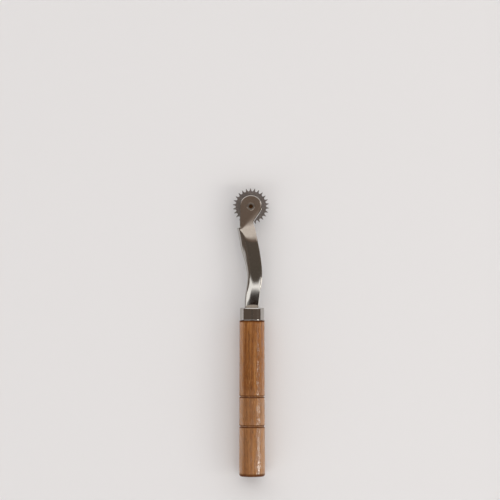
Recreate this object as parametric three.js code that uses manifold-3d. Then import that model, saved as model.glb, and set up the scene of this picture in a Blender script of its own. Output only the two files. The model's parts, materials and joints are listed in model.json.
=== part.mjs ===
import * as THREE from 'three';
import { mergeVertices } from 'three/addons/utils/BufferGeometryUtils.js';
import Module from 'manifold-3d';

// A leather stitching wheel: a toothed wheel in a folded steel fork, on a turned wooden handle.
// Lengths are millimetres. The handle's axis is Y, and the centre of its flat butt is the origin.
// X runs across the fork, from its folded spine to its open side. The wheel turns about Z.

// Handle
const handleLength = 60.8;
const buttRadius = 5.05;
const shoulderRadius = 4.87;
const buttRounding = 1.0;
const shoulderChamfer = 0.15;
const lowerGrooveHeight = 19.6;
const grooveSpacing = 11.6;
const grooveWidth = 0.9;
const grooveDepth = 0.4;

// Ferrule
const ferruleHeight = 5.0;
const ferruleStep = 0.15;
const ferruleWall = 0.5;
const ferruleRounding = 0.4;
const slotRounding = 0.6;

// Fork, one folded sheet: the clear space inside its fold, and its lengths
const sheetThickness = 0.8;
const neckOpening = 3.3;
const footOpening = 0.3;
const neckLength = 31.1;
const footTaperLength = 8.4;
const footTaperRounding = 2.0;
const tangLength = 24;
const tangWidth = 3.6;
const tangTipWidth = 2.8;

// Sides of the fork seen along Z: the folded spine and the open edge, as distances from the axis.
// The neck bows to the open side and then leans to the spine side. up is a share of the neck's length.
const footSpine = -2.87;
const footEdge = 2.55;
const neckSides = [
  { up: 0.14, spine: -2.75, edge: 3.1 },
  { up: 0.34, spine: -1.95, edge: 3.8 },
  { up: 0.5, spine: -2.35, edge: 3.86 },
  { up: 0.72, spine: -4.2, edge: 2.95 },
  { up: 0.85, spine: -4.95, edge: 2.15 },
];
const neckTopEdge = 1.3;

// Ears: above the notch the spine is cut away, and the two sides close in on the wheel
const earRadius = 4.33;
const notchStep = 1.0;
const notchRounding = 0.35;
const waistEdge = 0.45;
const waistDrop = 6.3;
const waistRounding = 0.8;

// Closing bend: it fans out from a corner beside the notch, between a round bowl low on the neck and
// a straight crease across the ear's foot, and dies out towards the notch. Angles are in degrees.
const closingInset = 1.46;
const closingDrop = 1.1;
const bowlRadius = 4.6;
const bowlTilt = -1.8;
const bowlFarShare = 0.98;
const creaseAngle = 49;
const notchSideAngle = 107;
const notchSideEnd = 151;

// Wheel
const wheelRadius = 7.12;
const wheelThickness = 1.2;
const wheelOffset = -0.45;
const wheelTurnAngle = 1.4;
const wheelSpineGap = 1.28;
const toothCount = 26;
const toothDepth = 1.2;
const toothTipDrop = 0.08;
const toothTipRounding = 0.18;
const gulletRadius = 0.45;

// Axle rivet
const barrelRadius = 0.95;
const rivetBoreRadius = 0.72;
const rivetBoreDepth = 1.1;
const rivetHeadRadius = 1.4;
const rivetHeadHeight = 0.3;
const rivetHeadRounding = 0.1;

// Clearances between pieces
const runningGap = 0.08;
const wheelSideGap = 0.3;
const rivetGap = 0.1;
const seatGap = 0.3;

// Steps along round and curved shapes
const roundSides = 32;
const roundingSteps = 4;
const foldSteps = 8;
const sideSteps = 10;
const outlineSteps = 8;
const neckSteps = 28;
const closingSteps = 8;
const gulletSteps = 5;

// Heights along the handle's axis
const ferruleTop = handleLength + ferruleHeight;
const notchHeight = ferruleTop + neckLength;
const wheelHeight = notchHeight + wheelSpineGap + wheelRadius;
const waistHeight = wheelHeight - waistDrop;
const earTop = wheelHeight + earRadius;
const tangTip = handleLength - tangLength;

// Radii and half depths that follow from the sizes above
const ferruleRadius = shoulderRadius - ferruleStep;
const ferruleInnerRadius = ferruleRadius - ferruleWall;
const neckHalfDepth = neckOpening / 2 + sheetThickness;
const footHalfDepth = footOpening / 2 + sheetThickness;
const earInnerFace = wheelThickness / 2 + wheelSideGap;
const earOuterFace = earInnerFace + sheetThickness;
const axleHoleRadius = barrelRadius + runningGap;
const earSpineEdge = wheelOffset - earRadius;
const spineTop = earSpineEdge - notchStep;

// Reaches beyond the fork's outline, for the sheet before it is cut
const openReach = wheelRadius + earRadius;
const spineReach = earSpineEdge - 2 * neckHalfDepth;

// Room round the axis that the fork needs inside the ferrule and inside the handle
const footReach = Math.max(Math.hypot(footEdge, footHalfDepth), -footSpine);
const tangReach = Math.hypot(tangWidth / 2, footHalfDepth);
const tangTipReach = Math.hypot(tangTipWidth / 2, footHalfDepth);

const lerp = THREE.MathUtils.lerp;
const wasm = await Module();
wasm.setup();

function toSolid(geometry) {
  const bare = geometry.clone();
  bare.deleteAttribute('normal');
  bare.deleteAttribute('uv');
  const merged = mergeVertices(bare, 1e-5);
  const vertProperties = new Float32Array(merged.attributes.position.array);
  const triVerts = new Uint32Array(merged.index.array);
  return new wasm.Manifold(new wasm.Mesh({ numProp: 3, vertProperties, triVerts }));
}

function toGeometry(solid) {
  const mesh = solid.getMesh();
  const geometry = new THREE.BufferGeometry();
  geometry.setAttribute('position', new THREE.Float32BufferAttribute(mesh.vertProperties, 3));
  geometry.setIndex([...mesh.triVerts]);
  geometry.computeVertexNormals();
  return geometry;
}

function point(x, y) {
  return new THREE.Vector2(x, y);
}

// A rounded corner of a turned profile, about a centre given by its radius and height.
function roundedCorner(centreRadius, centreHeight, radius, startAngle, endAngle) {
  const points = [];
  for (let i = 0; i <= roundingSteps; i++) {
    const angle = lerp(startAngle, endAngle, i / roundingSteps);
    points.push(point(centreRadius + radius * Math.cos(angle), centreHeight + radius * Math.sin(angle)));
  }
  return points;
}

// A plate in the XY plane, centred on Z = 0.
function plate(shape, thickness, curveSegments) {
  const geometry = new THREE.ExtrudeGeometry(shape, { depth: thickness, bevelEnabled: false, curveSegments });
  return geometry.translate(0, 0, -thickness / 2);
}

// A round bar along Z that cuts the axle's holes.
function axleBar(length) {
  return new THREE.CylinderGeometry(axleHoleRadius, axleHoleRadius, length, roundSides).rotateX(Math.PI / 2);
}

// Handle: straight taper, two grooves, rounded butt, and a tenon with the bore for the fork's tang
function grooveProfile(height) {
  const radius = lerp(buttRadius, shoulderRadius, height / handleLength);
  return [
    point(radius, height - grooveWidth / 2),
    point(radius - grooveDepth, height),
    point(radius, height + grooveWidth / 2),
  ];
}

function makeHandle() {
  const tenonRadius = ferruleInnerRadius - seatGap;
  const tenonTop = ferruleTop - ferruleWall - seatGap;
  const profile = [
    point(0, 0),
    ...roundedCorner(buttRadius - buttRounding, buttRounding, buttRounding, -Math.PI / 2, 0),
    ...grooveProfile(lowerGrooveHeight),
    ...grooveProfile(lowerGrooveHeight + grooveSpacing),
    point(shoulderRadius, handleLength - shoulderChamfer),
    point(shoulderRadius - shoulderChamfer, handleLength),
    point(tenonRadius, handleLength),
    point(tenonRadius, tenonTop),
    point(footReach + seatGap, tenonTop),
    point(tangReach + seatGap, handleLength),
    point(tangTipReach + seatGap, tangTip - seatGap),
    point(0, tangTip - seatGap - tangTipReach),
  ];
  return new THREE.LatheGeometry(profile, roundSides);
}

// Ferrule: a drawn cup whose closed end has a slot for the foot of the neck. The cup is turned with a
// small hole in its end, which the slot swallows.
function slotOutline() {
  const left = footSpine - seatGap;
  const right = footEdge + seatGap;
  const half = footHalfDepth + seatGap;
  const shape = new THREE.Shape();
  shape.moveTo(left + slotRounding, -half);
  shape.absarc(right - slotRounding, slotRounding - half, slotRounding, -Math.PI / 2, 0, false);
  shape.absarc(right - slotRounding, half - slotRounding, slotRounding, 0, Math.PI / 2, false);
  shape.absarc(left + slotRounding, half - slotRounding, slotRounding, Math.PI / 2, Math.PI, false);
  shape.absarc(left + slotRounding, slotRounding - half, slotRounding, Math.PI, Math.PI * 1.5, false);
  shape.closePath();
  return shape;
}

function makeFerrule() {
  const bottom = handleLength + seatGap;
  const holeRadius = footHalfDepth / 2;
  const profile = [
    point(ferruleInnerRadius, bottom),
    point(ferruleRadius, bottom),
    ...roundedCorner(ferruleRadius - ferruleRounding, ferruleTop - ferruleRounding, ferruleRounding, 0, Math.PI / 2),
    point(holeRadius, ferruleTop),
    point(holeRadius, ferruleTop - ferruleWall),
    point(ferruleInnerRadius, ferruleTop - ferruleWall),
    point(ferruleInnerRadius, bottom),
  ];
  const cup = toSolid(new THREE.LatheGeometry(profile, roundSides));
  const slot = plate(slotOutline(), 4 * ferruleWall, roundingSteps).rotateX(Math.PI / 2);
  return toGeometry(cup.subtract(toSolid(slot.translate(0, ferruleTop, 0))));
}

// Fork: how far a height lies down the slope from the neck to the foot, eased in at the neck
function footFall(height) {
  const below = ferruleTop + footTaperLength - height;
  return (below + Math.hypot(below, footTaperRounding)) / 2;
}

// Half the depth of the fold along Z at a height
function halfDepthAt(height) {
  const share = footFall(Math.max(height, ferruleTop)) / footFall(ferruleTop);
  return lerp(neckHalfDepth, footHalfDepth, share);
}

// How far the sides have closed in on the wheel, from 0 on the neck to 1 on the ears
function closingAt(x, height) {
  const across = x - (spineTop + closingInset);
  const up = height - (notchHeight - closingDrop);
  const chordShare = Math.min(Math.hypot(across, up) / (2 * bowlRadius), bowlFarShare);
  const bowlAngle = bowlTilt - THREE.MathUtils.radToDeg(Math.acos(chordShare));
  const angle = THREE.MathUtils.radToDeg(Math.atan2(up, across));
  const onNotchSide = THREE.MathUtils.smoothstep(angle, notchSideAngle, notchSideEnd);
  return THREE.MathUtils.smoothstep(angle, bowlAngle, creaseAngle) * (1 - onNotchSide);
}

// The folded sheet's heights, each with its spine's distance from the axis. It starts and ends a
// little beyond the outline, which cuts it at the tang's tip and at the notch.
function foldStations() {
  const curve = new THREE.SplineCurve([
    point(footSpine, ferruleTop),
    ...neckSides.map((side) => point(side.spine, ferruleTop + side.up * neckLength)),
    point(spineTop, notchHeight),
  ]);
  const stations = [
    { height: tangTip - sheetThickness, spine: -tangTipWidth / 2 },
    { height: handleLength, spine: -tangWidth / 2 },
  ];
  for (const { x, y } of curve.getPoints(neckSteps)) {
    stations.push({ height: y, spine: x });
  }
  stations[stations.length - 1].height += notchRounding / 2;
  return stations;
}

// The ears' heights. Their spine lies outside the ears' outline, which cuts it away.
function earStations() {
  const flatHeight = wheelHeight - wheelRadius / 2;
  const stations = [];
  for (let i = 0; i <= closingSteps; i++) {
    stations.push({ height: lerp(notchHeight + notchRounding, flatHeight, i / closingSteps), spine: spineReach });
  }
  stations.push({ height: earTop + sheetThickness, spine: spineReach });
  return stations;
}

// One closed ring of the folded sheet at a height: round its outer face, and back round its inner face.
function foldRing({ height, spine }) {
  const halfDepth = halfDepthAt(height);
  const foldCentre = spine + halfDepth;
  const line = [];
  for (let i = 0; i < sideSteps; i++) {
    line.push({ x: lerp(openReach, foldCentre, i / sideSteps), angle: Math.PI / 2 });
  }
  for (let i = 0; i <= foldSteps; i++) {
    line.push({ x: foldCentre, angle: Math.PI * (0.5 + i / foldSteps) });
  }
  for (let i = sideSteps - 1; i >= 0; i--) {
    line.push({ x: lerp(openReach, foldCentre, i / sideSteps), angle: Math.PI * 1.5 });
  }
  const face = (radius, closedDepth) => line.map(({ x, angle }) => {
    const faceX = x + radius * Math.cos(angle);
    const depth = radius * Math.sin(angle);
    const excess = Math.max(0, Math.abs(depth) - closedDepth);
    const z = depth - Math.sign(depth) * excess * closingAt(faceX, height);
    return new THREE.Vector3(faceX, height, z);
  });
  const outer = face(halfDepth, earOuterFace);
  const inner = face(halfDepth - sheetThickness, earInnerFace);
  return [...outer, ...inner.reverse()];
}

// A closed body through rings that each go once round the sheet.
function sheetThrough(stations) {
  const rings = stations.map(foldRing);
  const count = rings[0].length;
  const faces = [];
  for (let ring = 0; ring < rings.length - 1; ring++) {
    for (let i = 0; i < count; i++) {
      const here = ring * count + i;
      const next = ring * count + ((i + 1) % count);
      faces.push(here, next + count, next, here, here + count, next + count);
    }
  }
  const last = (rings.length - 1) * count;
  for (let i = 0; i < count / 2 - 1; i++) {
    const across = count - 1 - i;
    faces.push(i, across - 1, across, i, i + 1, across - 1);
    faces.push(last + i, last + across, last + across - 1, last + i, last + across - 1, last + i + 1);
  }
  const geometry = new THREE.BufferGeometry().setFromPoints(rings.flat());
  geometry.setIndex(faces);
  return geometry;
}

// The fork's outline seen along Z. Its spine side runs clear of the fold, which forms that side itself.
function forkOutline() {
  const waist = point(waistEdge, waistHeight);
  const wheelCentre = point(wheelOffset, wheelHeight);
  const toWaist = waist.clone().sub(wheelCentre);
  const tangentAngle = toWaist.angle() + Math.acos(earRadius / toWaist.length());
  const tangent = point(Math.cos(tangentAngle), Math.sin(tangentAngle)).multiplyScalar(earRadius).add(wheelCentre);
  const neckTop = point(neckTopEdge, notchHeight);
  const belowWaist = waist.clone().lerp(neckTop, waistRounding / waist.distanceTo(neckTop));
  const aboveWaist = waist.clone().lerp(tangent, waistRounding / waist.distanceTo(tangent));
  const shape = new THREE.Shape();
  shape.moveTo(spineReach, tangTip);
  shape.lineTo(tangTipWidth / 2, tangTip);
  shape.lineTo(tangWidth / 2, handleLength);
  shape.lineTo(footEdge, ferruleTop);
  shape.splineThru([...neckSides.map((side) => point(side.edge, ferruleTop + side.up * neckLength)), neckTop]);
  shape.lineTo(belowWaist.x, belowWaist.y);
  shape.quadraticCurveTo(waist.x, waist.y, aboveWaist.x, aboveWaist.y);
  shape.lineTo(tangent.x, tangent.y);
  shape.absarc(wheelCentre.x, wheelCentre.y, earRadius, tangentAngle, Math.PI, false);
  shape.lineTo(earSpineEdge, notchHeight + notchRounding);
  shape.quadraticCurveTo(earSpineEdge, notchHeight, earSpineEdge - notchRounding, notchHeight);
  shape.lineTo(spineReach, notchHeight);
  shape.closePath();
  return shape;
}

function makeFork() {
  const cutter = toSolid(plate(forkOutline(), 4 * neckHalfDepth, outlineSteps));
  const holes = toSolid(axleBar(4 * neckHalfDepth).translate(wheelOffset, wheelHeight, 0));
  const sheet = toSolid(sheetThrough([...foldStations(), ...earStations()]));
  return toGeometry(sheet.intersect(cutter).subtract(holes));
}

// Wheel: pointed teeth with rounded tips. Their flanks are straight and leave round gullets smoothly.
// One tooth lies on the X axis, between two half gullets.
function toothPoints() {
  const halfPitch = Math.PI / toothCount;
  const gulletReach = wheelRadius - toothDepth + gulletRadius;
  const gulletCentre = point(gulletReach * Math.cos(halfPitch), -gulletReach * Math.sin(halfPitch));
  const corner = point(wheelRadius + toothTipDrop, 0);
  const toCorner = corner.clone().sub(gulletCentre);
  const gulletStart = Math.PI - halfPitch;
  const gulletEnd = toCorner.angle() + Math.acos(gulletRadius / toCorner.length());
  const half = [];
  for (let i = 0; i <= gulletSteps; i++) {
    const angle = lerp(gulletStart, gulletEnd, i / gulletSteps);
    half.push(point(Math.cos(angle), Math.sin(angle)).multiplyScalar(gulletRadius).add(gulletCentre));
  }
  const flankEnd = half[gulletSteps];
  const tipStart = corner.clone().lerp(flankEnd, toothTipRounding / corner.distanceTo(flankEnd));
  const tipCurve = new THREE.QuadraticBezierCurve(tipStart, corner, point(tipStart.x, -tipStart.y));
  const otherHalf = half.slice(1).reverse().map(({ x, y }) => point(x, -y));
  return [...half, ...tipCurve.getPoints(roundingSteps), ...otherHalf];
}

function wheelOutline() {
  const tooth = toothPoints();
  const points = [];
  for (let i = 0; i < toothCount; i++) {
    const angle = Math.PI / 2 + (i * Math.PI * 2) / toothCount;
    points.push(...tooth.map((corner) => corner.clone().rotateAround(point(0, 0), angle)));
  }
  return new THREE.Shape(points);
}

function makeWheel() {
  const disc = toSolid(plate(wheelOutline(), wheelThickness, roundingSteps));
  return toGeometry(disc.subtract(toSolid(axleBar(2 * wheelThickness))));
}

// Axle rivet: half hollow. Its open end is rolled outwards over one ear, and its other head is solid.
function makeRivet() {
  const seat = earOuterFace + rivetGap;
  const end = seat + rivetHeadHeight;
  const profile = [
    point(0, -end),
    point(rivetHeadRadius - rivetHeadRounding, -end),
    point(rivetHeadRadius, rivetHeadRounding - end),
    point(rivetHeadRadius, -seat),
    point(barrelRadius, -seat),
    point(barrelRadius, seat),
    point(rivetHeadRadius, seat),
    point(rivetHeadRadius, end - rivetHeadRounding),
    point(rivetHeadRadius - rivetHeadRounding, end),
    point(rivetBoreRadius + rivetHeadRounding, end),
    point(rivetBoreRadius, end - rivetHeadRounding),
    point(rivetBoreRadius, end - rivetBoreDepth),
    point(0, end - rivetBoreDepth),
  ];
  return new THREE.LatheGeometry(profile, roundSides).rotateX(Math.PI / 2);
}

function material(color, roughness, metalness) {
  return new THREE.MeshStandardMaterial({ color, roughness, metalness });
}

function piece(name, geometry, finish, x, y) {
  const mesh = new THREE.Mesh(geometry, finish);
  mesh.name = name;
  mesh.position.set(x, y, 0);
  return mesh;
}

const lacqueredWood = material(0x9b6234, 0.45, 0);
const polishedSteel = material(0xb9b4ad, 0.25, 1);
const foldedSteel = material(0xa8a29a, 0.22, 1);
const wheelSteel = material(0x8a8580, 0.45, 1);
const rivetSteel = material(0xc4c0b8, 0.3, 1);

const wheel = piece('wheel', makeWheel(), wheelSteel, wheelOffset, wheelHeight);
wheel.rotation.z = THREE.MathUtils.degToRad(wheelTurnAngle);

const group = new THREE.Group();
group.add(
  piece('handle', makeHandle(), lacqueredWood, 0, 0),
  piece('ferrule', makeFerrule(), polishedSteel, 0, 0),
  piece('fork', makeFork(), foldedSteel, 0, 0),
  wheel,
  piece('axle_rivet', makeRivet(), rivetSteel, wheelOffset, wheelHeight),
);

export default group;
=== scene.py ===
import json
import math
import bmesh
import bpy
from mathutils import Matrix, Vector


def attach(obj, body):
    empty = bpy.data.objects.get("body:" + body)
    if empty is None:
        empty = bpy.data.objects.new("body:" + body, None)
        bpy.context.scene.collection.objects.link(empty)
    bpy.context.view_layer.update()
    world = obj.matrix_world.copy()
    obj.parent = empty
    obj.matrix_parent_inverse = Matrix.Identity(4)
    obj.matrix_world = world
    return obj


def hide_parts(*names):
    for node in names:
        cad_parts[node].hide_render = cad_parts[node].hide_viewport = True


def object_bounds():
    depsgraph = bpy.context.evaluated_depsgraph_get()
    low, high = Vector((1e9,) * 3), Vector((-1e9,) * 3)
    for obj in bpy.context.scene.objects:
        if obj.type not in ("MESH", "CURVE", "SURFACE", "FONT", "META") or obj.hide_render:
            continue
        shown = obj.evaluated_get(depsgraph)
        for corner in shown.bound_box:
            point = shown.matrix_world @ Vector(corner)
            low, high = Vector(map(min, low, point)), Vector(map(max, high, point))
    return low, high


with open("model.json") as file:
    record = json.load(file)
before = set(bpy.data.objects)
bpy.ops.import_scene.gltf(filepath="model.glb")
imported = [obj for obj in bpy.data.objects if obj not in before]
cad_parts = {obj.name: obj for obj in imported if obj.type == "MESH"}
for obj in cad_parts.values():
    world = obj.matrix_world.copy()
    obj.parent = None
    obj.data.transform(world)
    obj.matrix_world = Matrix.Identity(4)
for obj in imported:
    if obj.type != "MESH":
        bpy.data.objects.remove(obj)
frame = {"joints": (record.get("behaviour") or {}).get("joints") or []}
cad_low, cad_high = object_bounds()

# A leather stitching wheel that lies on its side. Y runs from the handle's butt to the wheel, X from
# the fork's folded spine to its open side, Z up along the wheel's axle. Pieces are shaped in
# millimetres and scaled to metres when they are finished.
MM = 0.001
QUARTER = math.pi / 2
HANDLE_AXIS = Vector((0, 1, 0))
AXLE = Vector((0, 0, 1))
WHEEL_CENTRE = Vector(frame["joints"][0]["pos_m"]) / MM
HOLDER = "holder"
TOOTHED_WHEEL = "toothed_wheel"
SHARP_ANGLE = math.radians(35)
MERGE_DISTANCE = 1e-4
SAME_HEIGHT = 1e-3
ROUNDING_STEPS = 12
SMALL_ROUNDING_STEPS = 6

# Handle
HANDLE_LENGTH = 60.8
BUTT_RADIUS = 5.05
BUTT_ROUNDING = 1.0
SHOULDER_RADIUS = 4.87
SHOULDER_ROUNDING = 0.15
SHOULDER_STEPS = 5
GROOVE_HEIGHTS = (19.6, 31.2)
GROOVE_WIDTH = 0.9
GROOVE_DEPTH = 0.4
GROOVE_FULLNESS = 0.8
GROOVE_STEPS = 16
RINGS_BELOW_GROOVES = (4.0, 8.0, 12.0, 16.0)
RINGS_BETWEEN_GROOVES = (23.0, 27.0)
RINGS_ABOVE_GROOVES = (35.0, 40.0, 45.0, 50.0, 55.0)
TENON_RADIUS = 3.92
TENON_TOP = 65.0
BORE_MOUTH_RADIUS = 3.17
BORE_SHOULDER_RADIUS = 2.34
BORE_END_RADIUS = 2.0
BORE_END_GAP = 0.3
BORE_POINT_GAP = 2.0
HANDLE_STEPS = 144

# Ferrule
FERRULE_TOP = 65.8
FERRULE_RADIUS = 4.72
FERRULE_WALL = 0.5
FERRULE_ROUNDING = 0.4
FERRULE_RIM = 0.2
FERRULE_LIFT = 0.12
FERRULE_FACE_RADIUS = 3.6
FERRULE_SIDE_RINGS = (0.015, 0.1, 0.5, 0.9, 0.985)
FERRULE_STEPS = 128
SLOT_GAP = 0.1
SLOT_LIP = 0.07
SLOT_SQUARENESS = 5

# Fork, one folded sheet. Half depths are measured along Z to the sheet's outer face.
SHEET = 0.8
INNER_LEAST = 0.1
NECK_HALF_DEPTH = 2.45
FOOT_HALF_DEPTH = 0.95
FOOT_TAPER_LENGTH = 8.4
FOOT_TAPER_ROUNDING = 2.3
TANG_TIP = 36.8
TANG_WIDTH = 3.6
TANG_TIP_WIDTH = 2.8
NOTCH_HEIGHT = 96.9
NECK_FOLD = 2.3
FOOT_FOLD = 0.55
FOOT_FOLD_FADE = (75.0, 88.0)
OUTER_EDGE = 0.24
INNER_EDGE = 0.08

# How much sooner the sheet falls to the foot beside the fold and beside the open edge, the heights
# between which that grows from nothing to its full size, and how steeply it grows across the side
FOLD_PINCH = 1.3
FOLD_PINCH_FADE = (65.8, 70.8)
FOLD_SHOULDER = 1.1
FOLD_SHOULDER_FADE = (70.4, 77.0)
FOLD_POWER = 2
EDGE_SHOULDER = 1.7
EDGE_SHOULDER_FADE = (72.0, 76.2)
EDGE_POWER = 4

# The fork's two sides seen along Z, up the neck: share of the neck's length, spine, open edge
NECK_SIDES = (
    (0.0, -2.87, 2.55),
    (0.14, -2.75, 3.1),
    (0.34, -1.95, 3.8),
    (0.5, -2.35, 3.86),
    (0.72, -4.2, 2.95),
    (0.85, -4.95, 2.15),
    (1.0, -5.78, 1.3),
)

# Ears, and the bend where the two sides close in on the wheel
EAR_RADIUS = 4.33
EAR_FACE = 1.7
EAR_LEAN = 0.02
EAR_CAP_RISE = 2.0
WAIST_EDGE = 0.45
WAIST_DROP = 6.3
WAIST_ROUNDING = 0.8
NOTCH_ROUNDING = 0.35
CLOSING_INSET = 1.46
CLOSING_DROP = 1.1
BOWL_RADIUS = 4.6
BOWL_TILT = math.radians(-1.8)
BOWL_FAR_SHARE = 0.98
CREASE_ANGLE = math.radians(49)
EAR_EASE = (math.radians(36), math.radians(59))
EAR_EASE_SHARE = 0.04
NOTCH_SIDE = (math.radians(107), math.radians(151))

# Rows of the fork's sheet: up the tang, through the ferrule, up the neck, then up an ear's open edge
# to the waist, round it, on to the round end and round that, and last the cap above the rows
TANG_STEPS = 4
FOOT_STEPS = 5
NECK_STEPS = 96
TO_WAIST_STEPS = 6
WAIST_STEPS = 8
EAR_STEPS = 10
EAR_ROUND_STEPS = 14
EAR_CAP_STEPS = 28

# Columns of the fork's sheet: across a side from the open edge, round the part of the fold that the
# notch leaves on the ears, and round the rest of it
SIDE_SHARES = (0.0, 0.13, 0.22, 0.31, 0.40, 0.49, 0.58, 0.67, 0.76, 0.85, 0.93, 1.0)
SIDE_COLUMNS = len(SIDE_SHARES) - 1
CUT_COLUMNS = 4
SPINE_COLUMNS = 6
EAR_COLUMNS = SIDE_COLUMNS + CUT_COLUMNS
HALF_COLUMNS = EAR_COLUMNS + SPINE_COLUMNS

# Wheel
WHEEL_RADIUS = 7.12
WHEEL_THICKNESS = 1.2
WHEEL_TURN = math.radians(1.4)
WHEEL_BORE = 1.03
WHEEL_EDGE = 0.05
WHEEL_CORNER_ANGLE = math.radians(80)
WEB_DROP = 2.2
WEB_STEPS = 3
TOOTH_COUNT = 26
TOOTH_DEPTH = 1.2
TOOTH_TIP_DROP = 0.08
TOOTH_TIP_ROUNDING = 0.19
TOOTH_TIP_STEPS = 6
GULLET_RADIUS = 0.45
GULLET_STEPS = 8

# Axle rivet, and the round hole for it in the ears
BARREL_RADIUS = 0.95
RIVET_BORE = 0.72
RIVET_BORE_DEPTH = 1.1
RIVET_BORE_CORNER = 0.1
RIVET_FUNNEL = 0.16
RIVET_RIM = 0.14
RIVET_HEAD = 1.4
RIVET_HEAD_HEIGHT = 0.3
AXLE_HOLE_CLEARING = 0.35
AXLE_HOLE_REACH = 1.2
AXLE_STEPS = 48

# Burns on the handle: heights up the butt and depths below the shoulder, where burn and painted shade
# darken the wood together, and the two lines in each groove, each with its place above the groove's
# middle, its reach and its strength
BUTT_BURN_AND_SHADE = (0.7, 1.5)
COLLAR_BURN_AND_SHADE = (0.8, 0.3)
GROOVE_BURNS = ((-0.32, 0.3, 0.95), (0.42, 0.24, 0.75))

# Colours of the wood and the metals
WOOD_DEEP = (0.2, 0.063, 0.01)
WOOD_GOLDEN = (0.35, 0.138, 0.032)
STREAK_PALE = (0.43, 0.2, 0.066)
STREAK_DARK = (0.13, 0.042, 0.008)
FIBRE_PALE = (0.45, 0.23, 0.085)
FIBRE_DARK = (0.12, 0.038, 0.008)
PORE_DARK = (0.07, 0.022, 0.006)
# Painted light, mixed into the wood towards its left and right sides
WOOD_SIDE_PAINTED_LIGHT = (0.5, 0.285, 0.14)
# Paler wood for the lower handle, with painted light towards its lit right side
WOOD_PALE_AND_PAINTED_LIGHT = (0.5, 0.33, 0.2)
# Burnt wood, also used as painted shade at the butt and under the ferrule
WOOD_BURNT_AND_SHADED = (0.075, 0.018, 0.001)
FERRULE_PLATING = (0.48, 0.455, 0.43)
FORK_PLATING = (0.5, 0.48, 0.455)
PLATING_ROUGHNESS = (0.05, 0.09)
RIVET_PLATING_PALE = (0.17, 0.145, 0.125)
RIVET_PLATING_DARK = (0.13, 0.112, 0.097)
# Grime and painted shade for the inside of the rivet's bore
RIVET_BORE_GRIME_AND_SHADE = (0.09, 0.04, 0.014)
WHEEL_STEEL = (0.162, 0.142, 0.133)

# Studio, in metres
CAMERA_PLACE = (-0.0008, 0.0883, 1.3)
VIEW_HALF_WIDTH = 0.0975
SENSOR_WIDTH = 36
FLOOR_REACH = 6.0
FLOOR_COLOR = (0.775, 0.77, 0.78, 1)
LAMP_TARGET = Vector((0, -0.115, 0))
LAMP_OFFSET = Vector((0.87, 0, 0.5)) * 1.2
LAMP_WIDTH = 0.13
LAMP_LENGTH = 0.42
LAMP_POWER = 2.3
LAMP_COLOR = (1.0, 0.96, 0.88)
LIGHT_BEHIND_LOW = (1.55, 1.55, 1.56)
LIGHT_BEHIND_HIGH = (1.02, 0.92, 0.83)
LIGHT_BEFORE_LOW = (1.5, 1.5, 1.52)
LIGHT_BEFORE_HIGH = (1.48, 1.47, 1.44)
DARK_BEFORE = (0.03, 0.018, 0.012)
DARK_SIDES = (0.16, 0.125, 0.1)
CEILING_BEFORE = (0.12, 0.1, 0.08)
CEILING_BEHIND = (0.24, 0.17, 0.13)
LIGHT_BELOW = (0.68, 0.67, 0.675)
BACKDROP = (0.76, 0.75, 0.755)


def lerp(a, b, share):
    return a + (b - a) * share


def sine(degrees):
    return math.sin(math.radians(degrees))


def smoothstep(value, low, high):
    share = min(max((value - low) / (high - low), 0.0), 1.0)
    return share * share * (3 - 2 * share)


def arc(centre, radius, start, end, steps):
    """Points of an arc in a plane, as pairs."""
    points = []
    for i in range(steps + 1):
        angle = lerp(start, end, i / steps)
        points.append((centre[0] + radius * math.cos(angle), centre[1] + radius * math.sin(angle)))
    return points


def quadratic(start, control, end, steps):
    """Points of a curve that rounds the corner at its control point."""
    points = []
    for i in range(steps + 1):
        t = i / steps
        a = Vector(start).lerp(Vector(control), t)
        b = Vector(control).lerp(Vector(end), t)
        points.append(tuple(a.lerp(b, t)))
    return points


def catmull_rom(values, share):
    """A smooth curve through evenly counted values, with share from 0 to 1."""
    place = share * (len(values) - 1)
    first = min(int(place), len(values) - 2)
    t = place - first
    before = values[max(first - 1, 0)]
    start, end = values[first], values[first + 1]
    after = values[min(first + 2, len(values) - 1)]
    v0 = (end - before) * 0.5
    v1 = (after - start) * 0.5
    return (
        (2 * start - 2 * end + v0 + v1) * t ** 3
        + (-3 * start + 3 * end - 2 * v0 - v1) * t ** 2
        + v0 * t
        + start
    )


def clean(bm):
    bmesh.ops.remove_doubles(bm, verts=bm.verts, dist=MERGE_DISTANCE)
    bmesh.ops.recalc_face_normals(bm, faces=bm.faces)


def spun(profile, axis, steps):
    """Spins a profile, pairs of a radius and a height up the axis, once round that axis."""
    bm = bmesh.new()
    verts = [bm.verts.new(Vector((radius, 0, 0)) + height * axis) for radius, height in profile]
    edges = [bm.edges.new(pair) for pair in zip(verts, verts[1:])]
    bmesh.ops.spin(
        bm, geom=verts + edges, cent=(0, 0, 0), axis=axis, dvec=(0, 0, 0),
        angle=math.tau, steps=steps, use_merge=True, use_duplicate=False,
    )
    clean(bm)
    return bm


def finish_piece(bm, name, body, material):
    """Turns the shape into a finished piece that stands for the solid of the same name."""
    bmesh.ops.scale(bm, vec=(MM, MM, MM), verts=bm.verts)
    for face in bm.faces:
        face.smooth = True
    for edge in bm.edges:
        edge.smooth = not edge.is_manifold or edge.calc_face_angle() < SHARP_ANGLE
    mesh = bpy.data.meshes.new(name)
    bm.to_mesh(mesh)
    bm.free()
    piece = bpy.data.objects.new(name + "_finished", mesh)
    bpy.context.scene.collection.objects.link(piece)
    piece.data.materials.append(material)
    weighted = piece.modifiers.new("flat_faces_lead", "WEIGHTED_NORMAL")
    weighted.keep_sharp = True
    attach(piece, body)
    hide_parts(name)


def handle_radius(height):
    return lerp(BUTT_RADIUS, SHOULDER_RADIUS, height / HANDLE_LENGTH)


def plain_rings(heights):
    return [(handle_radius(height), height) for height in heights]


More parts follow.
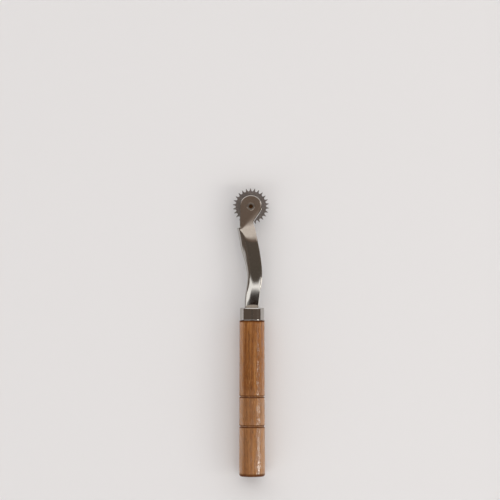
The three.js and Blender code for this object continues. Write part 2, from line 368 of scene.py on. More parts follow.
def groove_profile(height):
    """A burnt groove: soft lips and a rounded bottom."""
    points = []
    for i in range(GROOVE_STEPS + 1):
        across = lerp(-1.0, 1.0, i / GROOVE_STEPS)
        depth = GROOVE_DEPTH * (0.5 + 0.5 * math.cos(math.pi * across)) ** GROOVE_FULLNESS
        place = height + across * GROOVE_WIDTH * 0.5
        points.append((handle_radius(place) - depth, place))
    return points


def make_handle(material):
    """Turned from one piece: butt, two grooves, shoulder, tenon and the bore for the tang."""
    low_groove, high_groove = GROOVE_HEIGHTS
    butt = (BUTT_RADIUS - BUTT_ROUNDING, BUTT_ROUNDING)
    shoulder = (SHOULDER_RADIUS - SHOULDER_ROUNDING, HANDLE_LENGTH - SHOULDER_ROUNDING)
    profile = [(0.0, 0.0), (BUTT_RADIUS * 0.5, 0.0)]
    profile += arc(butt, BUTT_ROUNDING, -QUARTER, 0, ROUNDING_STEPS)
    profile += plain_rings(RINGS_BELOW_GROOVES)
    profile += groove_profile(low_groove)
    profile += plain_rings(RINGS_BETWEEN_GROOVES)
    profile += groove_profile(high_groove)
    profile += plain_rings(RINGS_ABOVE_GROOVES)
    profile += arc(shoulder, SHOULDER_ROUNDING, 0, QUARTER, SHOULDER_STEPS)
    profile += [
        (TENON_RADIUS, HANDLE_LENGTH),
        (TENON_RADIUS, TENON_TOP),
        (BORE_MOUTH_RADIUS, TENON_TOP),
        (BORE_SHOULDER_RADIUS, HANDLE_LENGTH),
        (BORE_END_RADIUS, TANG_TIP - BORE_END_GAP),
        (0.0, TANG_TIP - BORE_POINT_GAP),
    ]
    bm = spun(profile, HANDLE_AXIS, HANDLE_STEPS)
    finish_piece(bm, "handle", HOLDER, material)


def foot_slot(bm, ease, height):
    """The rounded slot round the fork's foot, as a ring of edges at a height."""
    spine, edge = NECK_SIDES[0][1:]
    middle = (spine + edge) / 2
    half_width = (edge - spine) / 2 + SLOT_GAP + ease
    half_depth = FOOT_HALF_DEPTH + SLOT_GAP + ease
    ring = bmesh.ops.create_circle(bm, segments=FERRULE_STEPS, radius=1)["verts"]
    for vert in ring:
        angle = math.atan2(vert.co.y, vert.co.x)
        across, up = math.cos(angle), math.sin(angle)
        powers = abs(across) ** SLOT_SQUARENESS + abs(up) ** SLOT_SQUARENESS
        square = powers ** (1 / SLOT_SQUARENESS)
        vert.co = (middle + half_width * across / square, height, half_depth * up / square)
    return list({e for vert in ring for e in vert.link_edges})


def make_ferrule(material):
    """A drawn cup whose closed end has a slot for the foot of the fork."""
    under_top = FERRULE_TOP - FERRULE_WALL
    bottom = HANDLE_LENGTH + FERRULE_LIFT
    inner = FERRULE_RADIUS - FERRULE_WALL
    rim = (FERRULE_RADIUS - FERRULE_RIM, bottom + FERRULE_RIM)
    rounding = (FERRULE_RADIUS - FERRULE_ROUNDING, FERRULE_TOP - FERRULE_ROUNDING)
    profile = [(FERRULE_FACE_RADIUS, under_top), (inner, under_top), (inner, bottom)]
    profile += arc(rim, FERRULE_RIM, -QUARTER, 0, SMALL_ROUNDING_STEPS)
    profile += [(FERRULE_RADIUS, lerp(rim[1], rounding[1], share)) for share in FERRULE_SIDE_RINGS]
    profile += arc(rounding, FERRULE_ROUNDING, 0, QUARTER, ROUNDING_STEPS)
    profile += [(FERRULE_FACE_RADIUS, FERRULE_TOP)]
    bm = spun(profile, HANDLE_AXIS, FERRULE_STEPS)
    rings = [
        [e for e in bm.edges if e.is_boundary and abs(e.verts[0].co.y - height) < SAME_HEIGHT]
        for height in (FERRULE_TOP, under_top)
    ]
    slots = [foot_slot(bm, SLOT_LIP, height) for height in (FERRULE_TOP, under_top)]
    lip = foot_slot(bm, 0.0, FERRULE_TOP - SLOT_LIP)
    bmesh.ops.bridge_loops(bm, edges=rings[0] + slots[0])
    bmesh.ops.bridge_loops(bm, edges=rings[1] + slots[1])
    bmesh.ops.bridge_loops(bm, edges=slots[0] + lip)
    bmesh.ops.bridge_loops(bm, edges=lip + slots[1])
    clean(bm)
    finish_piece(bm, "ferrule", HOLDER, material)


def foot_fall(height):
    """How far a height lies down the slope from the neck to the foot, eased in at the neck."""
    below = FERRULE_TOP + FOOT_TAPER_LENGTH - height
    return (below + math.hypot(below, FOOT_TAPER_ROUNDING)) / 2


def fold_width(height):
    """How far the fold's round reaches in from the spine: it is tighter at the foot."""
    return lerp(FOOT_FOLD, NECK_FOLD, smoothstep(height, *FOOT_FOLD_FADE))


def closing(x, height):
    """How far the sides have closed in on the wheel, from 0 on the neck to 1 on the ears. The last of
    the bend eases out over the lower part of the ear."""
    across = x - (NECK_SIDES[-1][1] + CLOSING_INSET)
    up = height - (NOTCH_HEIGHT - CLOSING_DROP)
    chord_share = min(math.hypot(across, up) / (2 * BOWL_RADIUS), BOWL_FAR_SHARE)
    bowl_angle = BOWL_TILT - math.acos(chord_share)
    angle = math.atan2(up, across)
    bend = smoothstep(angle, bowl_angle, CREASE_ANGLE)
    share = lerp(bend, smoothstep(angle, *EAR_EASE), EAR_EASE_SHARE)
    return share * (1 - smoothstep(angle, *NOTCH_SIDE))


def face_depth(x, height, spine, edge):
    """Height above the wheel's plane of a side's outer face. Beside the fold and the open edge it
    falls to the foot sooner than in the middle."""
    if height <= FERRULE_TOP:
        return FOOT_HALF_DEPTH
    middle = (spine + edge) / 2
    reach = edge - middle if x > middle else middle - spine - fold_width(height)
    aside = min(abs(x - middle) / reach, 1.0)
    if x > middle:
        sooner = EDGE_SHOULDER * smoothstep(height, *EDGE_SHOULDER_FADE) * aside ** EDGE_POWER
    else:
        pinch = FOLD_PINCH * smoothstep(height, *FOLD_PINCH_FADE)
        shoulder = FOLD_SHOULDER * smoothstep(height, *FOLD_SHOULDER_FADE)
        sooner = (pinch + shoulder) * aside ** FOLD_POWER
    fall = foot_fall(height - sooner) / foot_fall(FERRULE_TOP)
    return lerp(NECK_HALF_DEPTH, FOOT_HALF_DEPTH, fall)


def ear_depth(height):
    """Height of an ear's outer face above the wheel's plane. The ears lean in a little at the top."""
    return EAR_FACE + EAR_LEAN * (WHEEL_CENTRE.y - height)


def closed_in(x, height, depth):
    """Brings a point of a side in towards the wheel by the closing bend."""
    return depth - closing(x, height) * max(0.0, depth - ear_depth(height))


def neck_rows():
    """Heights up the tang and neck, each with the x of the spine side and of the open edge."""
    spines = [side[1] for side in NECK_SIDES]
    edges = [side[2] for side in NECK_SIDES]
    heights = [lerp(FERRULE_TOP, NOTCH_HEIGHT, side[0]) for side in NECK_SIDES]
    rows = []
    for i in range(TANG_STEPS + 1):
        share = i / TANG_STEPS
        width = lerp(TANG_TIP_WIDTH, TANG_WIDTH, share)
        rows.append((lerp(TANG_TIP, HANDLE_LENGTH, share), -width / 2, width / 2))
    for i in range(1, FOOT_STEPS):
        share = i / FOOT_STEPS
        spine = lerp(-TANG_WIDTH / 2, spines[0], share)
        edge = lerp(TANG_WIDTH / 2, edges[0], share)
        rows.append((lerp(HANDLE_LENGTH, FERRULE_TOP, share), spine, edge))
    for i in range(NECK_STEPS + 1):
        share = i / NECK_STEPS
        rows.append(tuple(catmull_rom(values, share) for values in (heights, spines, edges)))
    return rows


def ear_rows():
    """Heights up the ears to just above the axle, each with the x of the ear's two edges."""
    centre = WHEEL_CENTRE.xy
    neck_top = Vector((NECK_SIDES[-1][2], NOTCH_HEIGHT))
    waist = Vector((WAIST_EDGE, centre.y - WAIST_DROP))
    to_waist = waist - centre
    tangent_angle = math.atan2(to_waist.y, to_waist.x) + math.acos(EAR_RADIUS / to_waist.length)
    tangent = centre + EAR_RADIUS * Vector((math.cos(tangent_angle), math.sin(tangent_angle)))
    below = waist.lerp(neck_top, WAIST_ROUNDING / (waist - neck_top).length)
    above = waist.lerp(tangent, WAIST_ROUNDING / (waist - tangent).length)
    cap_angle = math.asin(EAR_CAP_RISE / EAR_RADIUS)
    open_edge = [tuple(neck_top.lerp(below, i / TO_WAIST_STEPS)) for i in range(TO_WAIST_STEPS)]
    open_edge += quadratic(below, waist, above, WAIST_STEPS)
    open_edge += [tuple(above.lerp(tangent, i / EAR_STEPS)) for i in range(1, EAR_STEPS)]
    open_edge += arc(centre, EAR_RADIUS, tangent_angle, cap_angle, EAR_ROUND_STEPS)
    rows = []
    for x, height in open_edge:
        rise = max(height - centre.y, 0.0)
        spine_edge = centre.x - math.sqrt(EAR_RADIUS ** 2 - rise ** 2)
        below_fillet = min(max(NOTCH_HEIGHT + NOTCH_ROUNDING - height, 0.0), NOTCH_ROUNDING)
        fillet = NOTCH_ROUNDING - math.sqrt(NOTCH_ROUNDING ** 2 - below_fillet ** 2)
        rows.append((height, spine_edge - fillet, x))
    return rows


def fold_angles():
    """Angles round the fold, with one where the notch cuts the spine away."""
    notch_x = WHEEL_CENTRE.x - EAR_RADIUS - NOTCH_ROUNDING
    cut_angle = math.asin((NECK_SIDES[-1][1] + NECK_FOLD - notch_x) / NECK_FOLD)
    angles = [cut_angle * i / CUT_COLUMNS for i in range(1, CUT_COLUMNS + 1)]
    angles += [lerp(cut_angle, QUARTER, i / SPINE_COLUMNS) for i in range(1, SPINE_COLUMNS + 1)]
    return angles


def fold_place(column, height, spine, edge, angles):
    """Outer and inner places, as x and z, of a column counted from the open edge to the spine."""
    width = fold_width(height)
    centre = spine + width
    if column <= SIDE_COLUMNS:
        x = lerp(edge, centre, SIDE_SHARES[column])
        depth = closed_in(x, height, face_depth(x, height, spine, edge))
        return (x, depth), (x, max(depth - SHEET, INNER_LEAST))
    angle = angles[column - SIDE_COLUMNS - 1]
    x = centre - width * math.sin(angle)
    side_depth = face_depth(x, height, spine, edge)
    depth = closed_in(x, height, side_depth * math.cos(angle))
    inner_x = centre - max(width - SHEET, INNER_LEAST) * math.sin(angle)
    inner_depth = max(side_depth - SHEET, INNER_LEAST) * math.cos(angle)
    if inner_depth > EAR_FACE:
        inner_depth = closed_in(x, height, inner_depth + SHEET) - SHEET
    return (x, depth), (inner_x, inner_depth)


def ear_place(column, height, spine, edge, notch_places):
    """The same for a column on an ear, where the columns are spread as they are at the notch."""
    first = notch_places[0][0][0]
    last = notch_places[-1][0][0]
    share = (notch_places[column][0][0] - first) / (last - first)
    x = lerp(edge, spine, share)
    inward = max((NECK_SIDES[-1][1] + NECK_FOLD - x) / NECK_FOLD, 0.0)
    depth = closed_in(x, height, NECK_HALF_DEPTH * math.sqrt(1 - min(inward, 1.0) ** 2))
    return (x, depth), (x, depth - SHEET)


def from_open_edge(column):
    """Counts a column of the whole sheet from the open edge of its own side."""
    return min(column, 2 * HALF_COLUMNS - column)


def lay_out_sheet(bm, marks, row_count, notch_row):
    """A flat grid with its rows and columns numbered, and without the spine above the notch."""
    bmesh.ops.create_grid(bm, x_segments=2 * HALF_COLUMNS, y_segments=row_count - 1, size=1)
    cut_away = []
    for vert in bm.verts:
        column = round((vert.co.x + 1) * HALF_COLUMNS)
        row = round((vert.co.y + 1) / 2 * (row_count - 1))
        vert[marks["column"]] = column
        vert[marks["row"]] = row
        if row > notch_row and from_open_edge(column) > EAR_COLUMNS:
            cut_away.append(vert)
    bmesh.ops.delete(bm, geom=cut_away, context="VERTS")


def cap_ear(bm, side):
    """Closes the top of an ear with a half disc above the last row of the grid."""
    centre = WHEEL_CENTRE.xy
    last = [
        v for v in bm.verts
        if abs(v.co.y - centre.y - EAR_CAP_RISE) < SAME_HEIGHT and v.co.z * side > 0
    ]
    last.sort(key=lambda v: v.co.x)
    cap_angle = math.asin(EAR_CAP_RISE / EAR_RADIUS)
    rim = arc(centre, EAR_RADIUS, cap_angle, math.pi - cap_angle, EAR_CAP_STEPS)[1:-1]
    cap = [bm.verts.new((x, y, side * ear_depth(y))) for x, y in rim]
    bm.faces.new([last[-1]] + cap + last[:-1])


def open_axle_hole(bm, depth):
    """Opens the round hole for the rivet in one ear."""
    centre = Vector((WHEEL_CENTRE.x, WHEEL_CENTRE.y, depth))

    def within(vert, reach):
        return (vert.co - centre).length < WHEEL_BORE + reach

    near = [v for v in bm.verts if within(v, AXLE_HOLE_CLEARING)]
    bmesh.ops.delete(bm, geom=near, context="VERTS")
    rim = [
        e for e in bm.edges
        if e.is_boundary and all(within(v, AXLE_HOLE_REACH) for v in e.verts)
    ]
    hole = bmesh.ops.create_circle(
        bm, segments=AXLE_STEPS, radius=WHEEL_BORE, matrix=Matrix.Translation(centre),
    )
    ring = {e for v in hole["verts"] for e in v.link_edges}
    bmesh.ops.triangle_fill(
        bm, edges=rim + list(ring), use_beauty=True, normal=(0, 0, math.copysign(1, depth)),
    )


def thicken_sheet(bm, marks, places):
    """Gives the sheet its inner face. A point whose row and column are both 0, as on an ear's cap
    and round the hole for the rivet, goes straight in."""
    walls = []
    for i, vert in enumerate(bm.verts):
        vert[marks["tag"]] = i
        outer_place = vert.co.copy()
        inner_place = outer_place - Vector((0, 0, math.copysign(SHEET, outer_place.z)))
        if vert[marks["row"]] or vert[marks["column"]]:
            inner_place = places(vert)[1]
        walls.append((outer_place, inner_place))
    outer = set(bm.verts)
    bmesh.ops.solidify(bm, geom=list(bm.faces), thickness=SHEET)
    for vert in bm.verts:
        inside = int(vert not in outer)
        vert[marks["inside"]] = inside
        vert.co = walls[vert[marks["tag"]]][inside]
    if bm.calc_volume(signed=True) < 0:
        bmesh.ops.reverse_faces(bm, faces=bm.faces)


def round_sheet_edges(bm, inside):
    """Rounds the cut edge of the sheet on its outer face and breaks it on its inner one."""
    for flag, width, segments in ((0, OUTER_EDGE, 4), (1, INNER_EDGE, 1)):
        rim = [
            e for e in bm.edges
            if e.is_manifold and all(v[inside] == flag for v in e.verts)
            and any(len({v[inside] for v in f.verts}) > 1 for f in e.link_faces)
        ]
        bmesh.ops.bevel(
            bm, geom=rim, offset=width, segments=segments, profile=0.5,
            affect="EDGES", material=-1,
        )


def make_fork(material):
    """Folds a flat grid into the channel, with the spine cut away above the notch and round ears."""
    angles = fold_angles()
    neck = neck_rows()
    rows = neck + ear_rows()[1:]
    notch_row = len(neck) - 1
    notch_places = [fold_place(i, *rows[notch_row], angles) for i in range(EAR_COLUMNS + 1)]
    bm = bmesh.new()
    marks = {name: bm.verts.layers.int.new(name) for name in ("row", "column", "tag", "inside")}
    lay_out_sheet(bm, marks, len(rows), notch_row)

    def places(vert):
        """Outer and inner points of a place on the sheet."""
        column = from_open_edge(vert[marks["column"]])
        side = 1 if vert[marks["column"]] < HALF_COLUMNS else -1
        row = vert[marks["row"]]
        if row <= notch_row:
            pair = fold_place(column, *rows[row], angles)
        else:
            pair = ear_place(column, *rows[row], notch_places)
        return [Vector((x, rows[row][0], side * z)) for x, z in pair]

    for vert in bm.verts:
        vert.co = places(vert)[0]
    for side in (1, -1):
        cap_ear(bm, side)
    clean(bm)
    for side in (1, -1):
        open_axle_hole(bm, side * EAR_FACE)
    bmesh.ops.recalc_face_normals(bm, faces=bm.faces)
    thicken_sheet(bm, marks, places)
    round_sheet_edges(bm, marks["inside"])
    finish_piece(bm, "fork", HOLDER, material)


def tooth_sector():
    """Outline of one tooth, from the middle of the gullet on one side to that on the other."""
    half_pitch = math.pi / TOOTH_COUNT
    gullet_centre = WHEEL_RADIUS - TOOTH_DEPTH + GULLET_RADIUS
    corner = Vector((WHEEL_RADIUS + TOOTH_TIP_DROP, 0.0))
    centre = Vector((gullet_centre * math.cos(half_pitch), -gullet_centre * math.sin(half_pitch)))
    to_corner = corner - centre
    leave = math.atan2(to_corner.y, to_corner.x) + math.acos(GULLET_RADIUS / to_corner.length)
    half = arc(centre, GULLET_RADIUS, math.pi - half_pitch, leave, GULLET_STEPS)
    flank_end = Vector(half[-1])
    round_start = corner.lerp(flank_end, TOOTH_TIP_ROUNDING / (corner - flank_end).length)
    tip = quadratic(round_start, corner, (round_start.x, -round_start.y), TOOTH_TIP_STEPS)
    mirrored = [(x, -y) for x, y in reversed(half)]
    return half + tip + mirrored


def make_wheel(material):
    """One tooth and its part of the web, repeated round the axle and then made thick."""
    half_pitch = math.pi / TOOTH_COUNT
    bm = bmesh.new()
    rim = [bm.verts.new((x, y, 0)) for x, y in tooth_sector()]
    bore, web = [
        [bm.verts.new((x, y, 0)) for x, y in arc((0, 0), radius, -half_pitch, half_pitch, WEB_STEPS)]
        for radius in (WHEEL_BORE, WHEEL_RADIUS - WEB_DROP)
    ]
    for i in range(WEB_STEPS):
        bm.faces.new((bore[i], bore[i + 1], web[i + 1], web[i]))
    bm.faces.new(list(reversed(web)) + rim)
    bmesh.ops.spin(
        bm, geom=list(bm.faces), cent=(0, 0, 0), axis=AXLE, dvec=(0, 0, 0),
        angle=math.tau, steps=TOOTH_COUNT, use_merge=False, use_duplicate=True,
    )
    bmesh.ops.remove_doubles(bm, verts=bm.verts, dist=MERGE_DISTANCE)
    turn = Matrix.Rotation(QUARTER + WHEEL_TURN, 3, "Z")
    bmesh.ops.rotate(bm, cent=(0, 0, 0), matrix=turn, verts=bm.verts)
    base = WHEEL_CENTRE - Vector((0, 0, WHEEL_THICKNESS / 2))
    bmesh.ops.translate(bm, vec=base, verts=bm.verts)
    lifted = bmesh.ops.extrude_face_region(bm, geom=list(bm.faces), use_keep_orig=True)
    top = [item for item in lifted["geom"] if isinstance(item, bmesh.types.BMVert)]
    bmesh.ops.translate(bm, vec=(0, 0, WHEEL_THICKNESS), verts=top)
    bmesh.ops.recalc_face_normals(bm, faces=bm.faces)
    corners = [e for e in bm.edges if e.is_manifold and e.calc_face_angle() > WHEEL_CORNER_ANGLE]
    bmesh.ops.bevel(
        bm, geom=corners, offset=WHEEL_EDGE, segments=2, profile=0.5,
        affect="EDGES", material=-1,
    )
    finish_piece(bm, "wheel", TOOTHED_WHEEL, material)


def make_rivet(material):
    """A half hollow rivet: its open end is rolled outwards over one ear, its other head is solid."""
    top = EAR_FACE + RIVET_HEAD_HEIGHT
    bore_bottom = top - RIVET_BORE_DEPTH
    funnel = (RIVET_BORE + RIVET_FUNNEL, top - RIVET_FUNNEL)
    rolled_rim = (RIVET_HEAD - RIVET_RIM, top - RIVET_RIM)
    solid_rim = (RIVET_HEAD - RIVET_RIM, -top + RIVET_RIM)
    profile = [(0.0, bore_bottom), (RIVET_BORE - RIVET_BORE_CORNER, bore_bottom)]
    profile += [(RIVET_BORE, bore_bottom + RIVET_BORE_CORNER)]
    profile += arc(funnel, RIVET_FUNNEL, 2 * QUARTER, QUARTER, SMALL_ROUNDING_STEPS)
    profile += arc(rolled_rim, RIVET_RIM, QUARTER, 0, SMALL_ROUNDING_STEPS)
    profile += [(RIVET_HEAD, EAR_FACE), (BARREL_RADIUS, EAR_FACE), (BARREL_RADIUS, -EAR_FACE)]
    profile += [(RIVET_HEAD, -EAR_FACE)]
    profile += arc(solid_rim, RIVET_RIM, 0, -QUARTER, SMALL_ROUNDING_STEPS)
    profile += [(0.0, -top)]
    bm = spun(profile, AXLE, AXLE_STEPS)
    bmesh.ops.translate(bm, vec=WHEEL_CENTRE, verts=bm.verts)
    finish_piece(bm, "axle_rivet", HOLDER, material)


class Nodes:
    """A tree of nodes, built up from a few kinds."""

    def __init__(self, tree):
        self.nodes = tree.nodes
        self.links = tree.links

    def split(self, vector):
        node = self.nodes.new("ShaderNodeSeparateXYZ")
        self.links.new(vector, node.inputs["Vector"])
        return node.outputs

    def noise(self, vector, detail=3.0, roughness=0.5, distortion=0.0):
        node = self.nodes.new("ShaderNodeTexNoise")
        node.inputs["Scale"].default_value = 1.0
        node.inputs["Detail"].default_value = detail
        node.inputs["Roughness"].default_value = roughness
        node.inputs["Distortion"].default_value = distortion
        self.links.new(vector, node.inputs["Vector"])
        return node.outputs["Fac"]

    def fade(self, value, low, high, at_low=0.0, at_high=1.0):
        """Goes smoothly from one number to the other while the value goes from low to high."""
        node = self.nodes.new("ShaderNodeMapRange")
        node.interpolation_type = "SMOOTHSTEP"
        node.inputs["From Min"].default_value = low
        node.inputs["From Max"].default_value = high
        node.inputs["To Min"].default_value = at_low
        node.inputs["To Max"].default_value = at_high
        self.links.new(value, node.inputs["Value"])
        return node.outputs["Result"]

    def calc(self, operation, a, b=0.0):
        node = self.nodes.new("ShaderNodeMath")
        node.operation = operation
        for socket, value in zip(node.inputs, (a, b)):
            if isinstance(value, (int, float)):
                socket.default_value = value
            else:
                self.links.new(value, socket)
        return node.outputs["Value"]

    def distance(self, x, y):
        squares = self.calc("ADD", self.calc("MULTIPLY", x, x), self.calc("MULTIPLY", y, y))
        return self.calc("SQRT", squares)

    def mix(self, share, a, b):
        """Colour a where the share is 0, colour b where it is 1."""
        node = self.nodes.new("ShaderNodeMix")
        node.data_type = "RGBA"
        for name, value in (("Factor_Float", share), ("A_Color", a), ("B_Color", b)):
            socket = next(s for s in node.inputs if s.identifier == name)
            if isinstance(value, tuple):
                socket.default_value = (*value, 1)
            else:
                self.links.new(value, socket)
        return next(s for s in node.outputs if s.identifier == "Result_Color")


class Finish(Nodes):
    """The material of a piece."""

    def __init__(self, name):
        self.material = bpy.data.materials.new(name)
        self.material.use_nodes = True
        super().__init__(self.material.node_tree)
        self.shader = self.nodes["Principled BSDF"]

    def set(self, **numbers):
        for name, value in numbers.items():
            self.shader.inputs[name.replace("_", " ")].default_value = value

    def to(self, socket, value):
        self.links.new(value, self.shader.inputs[socket])

    def place(self, across, along=None, move=(0, 0, 0)):
        """Object coordinates, in so many units to the metre across the handle's axis and along it."""
        if along is None:
            along = across
        coords = self.nodes.new("ShaderNodeTexCoord")
        mapping = self.nodes.new("ShaderNodeMapping")
        mapping.inputs["Location"].default_value = move
        mapping.inputs["Scale"].default_value = (across, along, across)
        self.links.new(coords.outputs["Object"], mapping.inputs["Vector"])
        return mapping.outputs["Vector"]

    def from_axle(self):
        """Distance from the wheel's axle, in millimetres."""
        place = self.split(self.place(1 / MM, move=(-WHEEL_CENTRE.x, -WHEEL_CENTRE.y, 0)))
        return self.distance(place["X"], place["Y"])

    def bump(self, height, distance, strength=1.0, after=None):
        node = self.nodes.new("ShaderNodeBump")
        node.inputs["Strength"].default_value = strength
        node.inputs["Distance"].default_value = distance
        self.links.new(height, node.inputs["Height"])
        if after is not None:
            self.links.new(after, node.inputs["Normal"])
        return node.outputs["Normal"]


def burns_and_painted_shade(wood, height):
    """The two lines burnt in each groove, and the collar under the ferrule and the butt's rim,
    darkened by burn and painted shade.
    """
    # The butt's rim and the collar under the ferrule are darkened by burn and painted shade together.
    butt = wood.fade(height, *BUTT_BURN_AND_SHADE, 0.9, 0.0)
    collar_burn_and_shade = wood.fade(height, *(HANDLE_LENGTH - depth for depth in COLLAR_BURN_AND_SHADE))
    burn_and_shade = wood.calc("MAXIMUM", butt, collar_burn_and_shade)
    for middle in GROOVE_HEIGHTS:
        for offset, reach, strength in GROOVE_BURNS:
            away = wood.calc("ABSOLUTE", wood.calc("SUBTRACT", height, middle + offset))
            line = wood.fade(away, reach * 0.4, reach, strength, 0.0)
            burn_and_shade = wood.calc("MAXIMUM", burn_and_shade, line)
    uneven = wood.fade(wood.noise(wood.place(900), detail=2), 0.3, 0.6, 0.72, 1.0)
    return wood.calc("MULTIPLY", burn_and_shade, uneven)


def lacquered_wood():
    """Golden brown hardwood: bands and fibres along the handle, burnt lines with painted shade,
    painted light on its sides and lower handle, a thin lacquer.
    """
    wood = Finish("lacquered_wood")
    place = wood.split(wood.place(1 / MM))
    x, height = place["X"], place["Y"]
    bands = wood.noise(
        wood.place(560, 9, move=(5, 0, 2)), detail=3, roughness=0.65, distortion=0.4,
    )
    streaks = wood.noise(wood.place(1500, 32), detail=4, roughness=0.65, distortion=0.3)
    fibres = wood.noise(wood.place(3400, 330, move=(3, 1, 5)), detail=4, roughness=0.7)
    pores = wood.noise(wood.place(3200, 420, move=(1, 4, 9)), detail=2)
    color = wood.mix(wood.fade(bands, 0.38, 0.62), WOOD_DEEP, WOOD_GOLDEN)
    color = wood.mix(wood.fade(streaks, 0.5, 0.72, 0.0, 0.8), color, STREAK_PALE)
    color = wood.mix(wood.fade(streaks, 0.3, 0.46, 0.75, 0.0), color, STREAK_DARK)
    color = wood.mix(wood.fade(fibres, 0.52, 0.75, 0.0, 0.7), color, FIBRE_PALE)
    color = wood.mix(wood.fade(fibres, 0.25, 0.45, 0.6, 0.0), color, FIBRE_DARK)
    color = wood.mix(wood.fade(pores, 0.58, 0.7, 0.0, 0.6), color, PORE_DARK)
    # Painted light: the colour is lightened towards the handle's left and right sides, more on the
    # left.
    painted_side_light = wood.calc(
        "MAXIMUM", wood.fade(x, -4.8, -2.8, 0.32, 0.0), wood.fade(x, 2.8, 4.8, 0.0, 0.2),
    )
    color = wood.mix(painted_side_light, color, WOOD_SIDE_PAINTED_LIGHT)
    # The lower handle is made paler, and painted light makes it paler still towards the lit right
    # side.
    lower_handle = wood.fade(height, 29.0, 36.0, 1.0, 0.0)
    pale_and_painted_light = wood.calc("MULTIPLY", lower_handle, wood.fade(x, 0.5, 4.5, 0.12, 0.24))
    color = wood.mix(pale_and_painted_light, color, WOOD_PALE_AND_PAINTED_LIGHT)
    burn_and_shade = burns_and_painted_shade(wood, height)
    wood.to("Base Color", wood.mix(burn_and_shade, color, WOOD_BURNT_AND_SHADED))
    wood.to("Roughness", wood.fade(streaks, 0.3, 0.7, 0.55, 0.4))

    grain = wood.bump(fibres, 0.00004, 0.6)
    fine_grain = wood.noise(wood.place(2600, 1300), detail=2)
    wood.to("Normal", wood.bump(fine_grain, 0.00003, 0.5, after=grain))
    ripples = wood.noise(wood.place(2600, 300), detail=3, roughness=0.6)
    wood.to("Coat Normal", wood.bump(ripples, 0.0001, after=grain))
    speckle = wood.noise(wood.place(950, 480, move=(7, 2, 3)), detail=4, roughness=0.75)
    lacquer = wood.fade(speckle, 0.42, 0.58, 0.2, 1.0)
    clear_of_burn_and_shade = wood.fade(burn_and_shade, 0.1, 0.6, 1.0, 0.0)
    wood.to("Coat Weight", wood.calc("MULTIPLY", lacquer, clear_of_burn_and_shade))
    wood.set(Coat_Roughness=0.1, Coat_IOR=1.88, Specular_IOR_Level=0.1)
    return wood.material


def bright_plate(name, color, waviness, lines, line_depth):
    """Plated steel: a mirror with faint waves, and fine lines the way it was polished."""
    steel = Finish(name)
    waves = steel.noise(steel.place(420), detail=2)
    scratches = steel.noise(steel.place(*lines, move=(2, 5, 1)), detail=4, roughness=0.7)
    mottle = steel.noise(steel.place(900, move=(4, 4, 2)), detail=3)
    darker = tuple(c * 0.96 for c in color)
    steel.to("Base Color", steel.mix(steel.fade(mottle, 0.35, 0.65), color, darker))
    steel.to("Roughness", steel.fade(mottle, 0.3, 0.7, *PLATING_ROUGHNESS))
    steel.to("Normal", steel.bump(scratches, line_depth, after=steel.bump(waves, waviness)))
    steel.set(Metallic=1.0)
    return steel.material


def rivet_plate():
    """The rivet's plating, with a bore darkened by grime and painted shade."""
    steel = Finish("rivet_plate")
    mottle = steel.noise(steel.place(1800), detail=3)
    # Grime with painted shade: the colour darkens inside the bore.
    bore = steel.fade(steel.from_axle(), RIVET_BORE + 0.02, RIVET_BORE + 0.16, 1.0, 0.0)
    plate = steel.mix(steel.fade(mottle, 0.35, 0.65), RIVET_PLATING_PALE, RIVET_PLATING_DARK)
    steel.to("Base Color", steel.mix(bore, plate, RIVET_BORE_GRIME_AND_SHADE))
    plate_roughness = steel.fade(mottle, 0.3, 0.7, 0.34, 0.42)
    bore_roughness = steel.calc("MULTIPLY", bore, 0.5)
    steel.to("Roughness", steel.calc("MAXIMUM", bore_roughness, plate_roughness))
    steel.to("Normal", steel.bump(mottle, 0.000003))
    steel.set(Metallic=1.0)
    return steel.material


def stamped_steel():
    """The wheel's tool steel: matt, mottled, with turning marks round the axle."""
    steel = Finish("stamped_steel")
    mottle = steel.noise(steel.place(1500), detail=4, roughness=0.65)
    patches = steel.noise(steel.place(350, move=(5, 5, 5)), detail=2)
    turned = steel.calc("SINE", steel.calc("MULTIPLY", steel.from_axle(), 26.0))
    paler = tuple(c * 1.25 for c in WHEEL_STEEL)
    darker = tuple(c * 0.8 for c in WHEEL_STEEL)
    tone = steel.mix(steel.fade(patches, 0.35, 0.65), WHEEL_STEEL, paler)
    steel.to("Base Color", steel.mix(steel.fade(mottle, 0.4, 0.7), tone, darker))
    steel.to("Roughness", steel.fade(mottle, 0.3, 0.7, 0.4, 0.55))
    steel.to("Normal", steel.bump(mottle, 0.00001, after=steel.bump(turned, 0.000003)))
    steel.set(Metallic=1.0)
    return steel.material


def make_floor():
    bm = bmesh.new()
    bmesh.ops.create_grid(bm, x_segments=1, y_segments=1, size=FLOOR_REACH)
    bmesh.ops.translate(bm, vec=(0, 0, cad_low.z), verts=bm.verts)
    mesh = bpy.data.meshes.new("floor")
    bm.to_mesh(mesh)
    bm.free()
    floor = bpy.data.objects.new("floor", mesh)
    bpy.context.scene.collection.objects.link(floor)
    card = Finish("pale_card")
    card.set(Base_Color=FLOOR_COLOR, Roughness=0.9, Specular_IOR_Level=0.2)
    floor.data.materials.append(card.material)


def make_camera():
    """Looks straight down from above, as the photograph does."""
    camera_data = bpy.data.cameras.new("camera")
    camera_data.sensor_width = SENSOR_WIDTH
    camera_data.lens = SENSOR_WIDTH / 2 * CAMERA_PLACE[2] / VIEW_HALF_WIDTH
    camera_data.clip_start = 0.01
    camera = bpy.data.objects.new("camera", camera_data)
    camera.location = CAMERA_PLACE
    bpy.context.scene.collection.objects.link(camera)
    bpy.context.scene.camera = camera


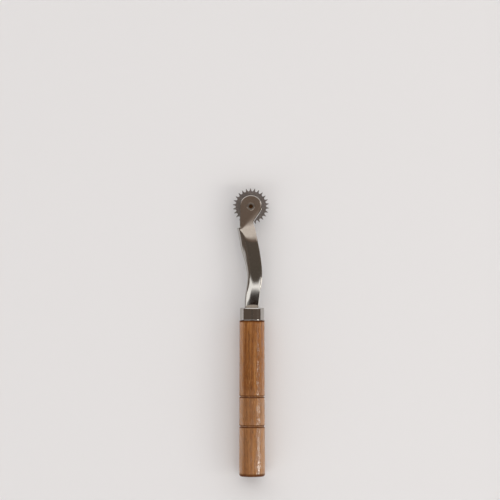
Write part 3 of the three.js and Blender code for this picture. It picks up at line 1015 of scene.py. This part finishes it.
def make_world():
    """A soft studio: broad light from before and behind, dark to both sides and straight above.
    Before is the side of the butt, behind the side of the wheel."""
    world = bpy.data.worlds.new("studio")
    world.use_nodes = True
    bpy.context.scene.world = world
    studio = Nodes(world.node_tree)
    coords = studio.nodes.new("ShaderNodeTexCoord")
    axes = studio.split(coords.outputs["Generated"])
    x, y, z = axes["X"], axes["Y"], axes["Z"]
    # The sine of the angle from straight up, and how far round to the left or right a direction lies
    lean = studio.distance(x, y)
    beside = studio.calc(
        "DIVIDE", studio.calc("ABSOLUTE", x), studio.calc("MAXIMUM", lean, 0.001),
    )

    high = studio.fade(lean, 0.62, 0.75, 1.0, 0.0)
    behind = studio.fade(y, -0.05, 0.05)
    behind_light = studio.mix(high, LIGHT_BEHIND_LOW, LIGHT_BEHIND_HIGH)
    before_light = studio.mix(high, LIGHT_BEFORE_LOW, LIGHT_BEFORE_HIGH)
    light = studio.mix(behind, before_light, behind_light)

    wider_low = studio.calc("SUBTRACT", beside, studio.fade(lean, 0.55, 0.85, 0.0, 0.06))
    behind_left = studio.calc(
        "MULTIPLY", studio.fade(x, -0.05, 0.0, 1.0, 0.0), studio.fade(y, 0.0, 0.05),
    )
    sideways = studio.calc("ADD", wider_low, studio.calc("MULTIPLY", behind_left, 0.1))
    light = studio.mix(studio.fade(sideways, 0.875, 0.93), light, DARK_SIDES)

    dark = studio.fade(beside, sine(18), sine(32), 1.0, 0.0)
    dark = studio.calc("MULTIPLY", dark, studio.fade(lean, sine(11.8), sine(20.4)))
    dark = studio.calc("MULTIPLY", dark, studio.fade(lean, 0.66, 0.85, 1.0, 0.5))
    dark = studio.calc("MULTIPLY", dark, studio.fade(y, -0.05, 0.0, 1.0, 0.0))
    light = studio.mix(dark, light, DARK_BEFORE)

    above = studio.fade(lean, sine(3.2), sine(10.4), 1.0, 0.0)
    ceiling = studio.mix(studio.fade(y, -0.02, 0.08), CEILING_BEFORE, CEILING_BEHIND)
    light = studio.mix(above, light, ceiling)
    below = studio.fade(z, -0.02, 0.0, 1.0, 0.0)
    light = studio.mix(below, light, LIGHT_BELOW)
    rays = studio.nodes.new("ShaderNodeLightPath")
    light = studio.mix(rays.outputs["Is Camera Ray"], light, BACKDROP)
    background = studio.nodes["Background"]
    studio.links.new(light, background.inputs["Color"])
    background.inputs["Strength"].default_value = 1.0


def make_side_lamp():
    """A small soft lamp beside the butt, for the streak along the lower handle."""
    lamp_data = bpy.data.lights.new("side_lamp", "AREA")
    lamp_data.shape = "RECTANGLE"
    lamp_data.size = LAMP_WIDTH
    lamp_data.size_y = LAMP_LENGTH
    lamp_data.energy = LAMP_POWER
    lamp_data.color = LAMP_COLOR
    lamp = bpy.data.objects.new("side_lamp", lamp_data)
    lamp.location = LAMP_TARGET + LAMP_OFFSET
    lamp.rotation_euler = (LAMP_TARGET - lamp.location).to_track_quat("-Z", "Y").to_euler()
    bpy.context.scene.collection.objects.link(lamp)


make_camera()
make_floor()
make_world()
make_side_lamp()
make_handle(lacquered_wood())
make_ferrule(bright_plate("ferrule_plate", FERRULE_PLATING, 0.0000012, (900, 9000), 0.0000001))
make_fork(bright_plate("fork_plate", FORK_PLATING, 0.000003, (9000, 700), 0.0000012))
make_wheel(stamped_steel())
make_rivet(rivet_plate())

bpy.context.scene.view_settings.view_transform = "Standard"
